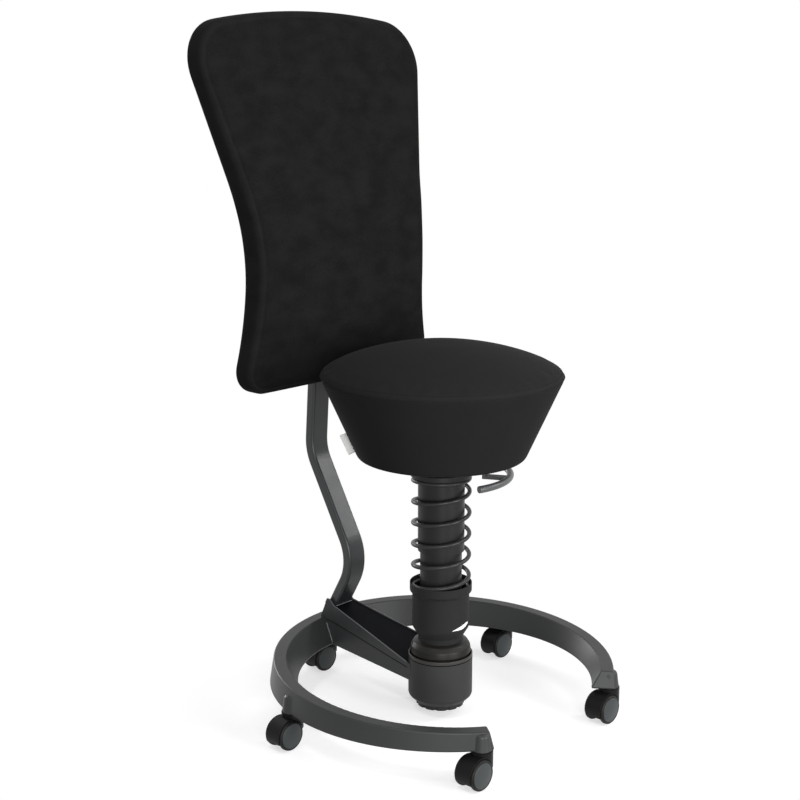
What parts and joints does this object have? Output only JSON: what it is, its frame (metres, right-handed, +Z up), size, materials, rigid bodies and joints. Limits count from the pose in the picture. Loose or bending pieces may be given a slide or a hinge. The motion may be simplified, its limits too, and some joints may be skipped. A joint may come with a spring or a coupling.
{
  "type": "wobble stool with backrest",
  "caption": "Active sit stool on a castored open foot ring: domed round seat on a coil-sprung rocking column, with a tall padded backrest on a bent post.",
  "frame": {"origin": "on the floor, under the middle of the column", "axes": "+Z up, -Y to the open front of the ring, +Y to the backrest, +X to the sitter's left"},
  "size_m": [0.6167, 0.606, 1.1862],
  "materials": {
    "ring_paint": "satin powder coat",
    "frame_paint": "satin powder coat",
    "post_paint": "satin powder coat",
    "cover_plastic": "fine moulded texture",
    "screw_steel": "blackened",
    "back_fabric": "suede-like microfibre",
    "back_shell": "moulded",
    "seat_fabric": "smooth stretch fabric",
    "tag_fabric": "woven tape",
    "boot_rubber": "moulded rubber",
    "spring_paint": "satin",
    "column_paint": "satin",
    "cup_plastic": "moulded",
    "knob_plastic": "moulded",
    "bush_plastic": "moulded acetal",
    "ball_metal": "machined, dark",
    "gas_metal": "black gas spring lacquer",
    "rod_chrome": "ground rod",
    "hood_plastic": "moulded nylon",
    "wheel_plastic": "moulded nylon",
    "castor_steel": "turned",
    "lever_metal": "satin",
    "shell_plastic": "moulded",
    "plate_steel": "black lacquer"
  },
  "bodies": {
    "base": {"foot_ring": "ring_paint", "ring_arm": "frame_paint", "arm_cheeks": "frame_paint", "arm_cover": "cover_plastic", "back_post": "post_paint", "back_bracket": "frame_paint", "bracket_screws": "screw_steel", "back_panel": "back_shell", "back_pad": "back_fabric", "hub_housing": "frame_paint", "hub_collar": "frame_paint", "wobble_buffer": "boot_rubber"},
    "knob": {"stiffness_knob": "knob_plastic"},
    "pressure_plate": {"pressure_plate": "knob_plastic"},
    "liner": {"ball_liner": "bush_plastic"},
    "strut": {"pivot_ball": "ball_metal", "ball_boot": "boot_rubber", "guide_tube": "column_paint", "guide_bush": "bush_plastic", "coil_spring": "spring_paint"},
    "spring_cup": {"spring_cup": "cup_plastic"},
    "carriage": {"upper_sleeve": "column_paint", "slide_bush": "bush_plastic", "top_plate": "column_paint", "gas_sleeve": "column_paint", "gas_bush": "bush_plastic"},
    "swivel": {"piston_rod": "rod_chrome"},
    "seat": {"gas_tube": "gas_metal", "seat_plate": "plate_steel", "seat_shell": "shell_plastic", "seat_cushion": "seat_fabric", "seat_tag": "tag_fabric"},
    "lever": {"height_lever": "lever_metal"},
    "valve": {"valve_pin": "rod_chrome"},
    "castor_1": {"castor_1_hood": "hood_plastic", "castor_1_stem": "castor_steel", "castor_1_axle": "castor_steel"},
    "castor_1_wheel_left": {"castor_1_wheel_left": "wheel_plastic"},
    "castor_1_wheel_right": {"castor_1_wheel_right": "wheel_plastic"},
    "castor_2": {"castor_2_hood": "hood_plastic", "castor_2_stem": "castor_steel", "castor_2_axle": "castor_steel"},
    "castor_2_wheel_left": {"castor_2_wheel_left": "wheel_plastic"},
    "castor_2_wheel_right": {"castor_2_wheel_right": "wheel_plastic"},
    "castor_3": {"castor_3_hood": "hood_plastic", "castor_3_stem": "castor_steel", "castor_3_axle": "castor_steel"},
    "castor_3_wheel_left": {"castor_3_wheel_left": "wheel_plastic"},
    "castor_3_wheel_right": {"castor_3_wheel_right": "wheel_plastic"},
    "castor_4": {"castor_4_hood": "hood_plastic", "castor_4_stem": "castor_steel", "castor_4_axle": "castor_steel"},
    "castor_4_wheel_left": {"castor_4_wheel_left": "wheel_plastic"},
    "castor_4_wheel_right": {"castor_4_wheel_right": "wheel_plastic"},
    "castor_5": {"castor_5_hood": "hood_plastic", "castor_5_stem": "castor_steel", "castor_5_axle": "castor_steel"},
    "castor_5_wheel_left": {"castor_5_wheel_left": "wheel_plastic"},
    "castor_5_wheel_right": {"castor_5_wheel_right": "wheel_plastic"}
  },
  "joints": [
    {"name": "stiffness_turn", "type": "hinge", "parent": "base", "child": "knob", "pos_m": [0, 0, 0.01625], "axis": [0, 0, 1], "range_deg": [0, 360]},
    {"name": "stiffness_lift", "type": "slide", "parent": "base", "child": "pressure_plate", "axis": [0, 0, 1], "range_m": [0, 0.0015]},
    {"name": "wobble_pitch", "type": "hinge", "parent": "base", "child": "liner", "pos_m": [0, 0, 0.09], "axis": [1, 0, 0], "range_deg": [-2.5, 7], "stiffness_Nm_per_rad": 500},
    {"name": "wobble_roll", "type": "hinge", "parent": "liner", "child": "strut", "pos_m": [0, 0, 0.09], "axis": [0, 1, 0], "range_deg": [-7, 7], "stiffness_Nm_per_rad": 500},
    {"name": "spring_cup_turn", "type": "hinge", "parent": "strut", "child": "spring_cup", "pos_m": [0, 0, 0.185], "axis": [0, 0, 1], "range_deg": [-150, 150]},
    {"name": "bounce", "type": "slide", "parent": "strut", "child": "carriage", "axis": [0, 0, 1], "range_m": [-0.055, 0], "stiffness_N_per_m": 12000, "springref_m": 0.02, "deforming": ["coil_spring"]},
    {"name": "seat_swivel", "type": "hinge", "parent": "carriage", "child": "swivel", "pos_m": [0, 0, 0.425], "axis": [0, 0, 1], "continuous": true},
    {"name": "seat_lift", "type": "slide", "parent": "swivel", "child": "seat", "axis": [0, 0, 1], "range_m": [-0.125, 0]},
    {"name": "lever_lift", "type": "hinge", "parent": "seat", "child": "lever", "pos_m": [0.03474, -0.06534, 0.4445], "axis": [-0.8829, -0.4695, 0], "range_deg": [0, 8], "stiffness_Nm_per_rad": 1.5, "springref_deg": -5.73},
    {"name": "valve_press", "type": "slide", "parent": "seat", "child": "valve", "axis": [0, 0, -1], "range_m": [0, 0.0025]},
    {"name": "castor_1_swivel", "type": "hinge", "parent": "base", "child": "castor_1", "pos_m": [0, 0.282, 0.0575], "axis": [0, 0, 1], "continuous": true},
    {"name": "castor_1_wheel_left_roll", "type": "hinge", "parent": "castor_1", "child": "castor_1_wheel_left", "pos_m": [-0.019, 0.282, 0.0252], "axis": [0, 1, 0], "continuous": true},
    {"name": "castor_1_wheel_right_roll", "type": "hinge", "parent": "castor_1", "child": "castor_1_wheel_right", "pos_m": [-0.019, 0.282, 0.0252], "axis": [0, 1, 0], "continuous": true},
    {"name": "castor_2_swivel", "type": "hinge", "parent": "base", "child": "castor_2", "pos_m": [-0.27295, 0.08369, 0.0575], "axis": [0, 0, 1], "continuous": true},
    {"name": "castor_2_wheel_left_roll", "type": "hinge", "parent": "castor_2", "child": "castor_2_wheel_left", "pos_m": [-0.29195, 0.08369, 0.0252], "axis": [0, 1, 0], "continuous": true},
    {"name": "castor_2_wheel_right_roll", "type": "hinge", "parent": "castor_2", "child": "castor_2_wheel_right", "pos_m": [-0.29195, 0.08369, 0.0252], "axis": [0, 1, 0], "continuous": true},
    {"name": "castor_3_swivel", "type": "hinge", "parent": "base", "child": "castor_3", "pos_m": [-0.16869, -0.23719, 0.0575], "axis": [0, 0, 1], "continuous": true},
    {"name": "castor_3_wheel_left_roll", "type": "hinge", "parent": "castor_3", "child": "castor_3_wheel_left", "pos_m": [-0.18769, -0.23719, 0.0252], "axis": [0, 1, 0], "continuous": true},
    {"name": "castor_3_wheel_right_roll", "type": "hinge", "parent": "castor_3", "child": "castor_3_wheel_right", "pos_m": [-0.18769, -0.23719, 0.0252], "axis": [0, 1, 0], "continuous": true},
    {"name": "castor_4_swivel", "type": "hinge", "parent": "base", "child": "castor_4", "pos_m": [0.16869, -0.23719, 0.0575], "axis": [0, 0, 1], "continuous": true},
    {"name": "castor_4_wheel_left_roll", "type": "hinge", "parent": "castor_4", "child": "castor_4_wheel_left", "pos_m": [0.14969, -0.23719, 0.0252], "axis": [0, 1, 0], "continuous": true},
    {"name": "castor_4_wheel_right_roll", "type": "hinge", "parent": "castor_4", "child": "castor_4_wheel_right", "pos_m": [0.14969, -0.23719, 0.0252], "axis": [0, 1, 0], "continuous": true},
    {"name": "castor_5_swivel", "type": "hinge", "parent": "base", "child": "castor_5", "pos_m": [0.27295, 0.08369, 0.0575], "axis": [0, 0, 1], "continuous": true},
    {"name": "castor_5_wheel_left_roll", "type": "hinge", "parent": "castor_5", "child": "castor_5_wheel_left", "pos_m": [0.25395, 0.08369, 0.0252], "axis": [0, 1, 0], "continuous": true},
    {"name": "castor_5_wheel_right_roll", "type": "hinge", "parent": "castor_5", "child": "castor_5_wheel_right", "pos_m": [0.25395, 0.08369, 0.0252], "axis": [0, 1, 0], "continuous": true}
  ],
  "couplings": [
    {"joint": "stiffness_lift", "follows": "stiffness_turn", "m_per_rad": 0.00023873},
    {"joint": "valve_press", "follows": "lever_lift", "m_per_rad": 0.017904}
  ]
}
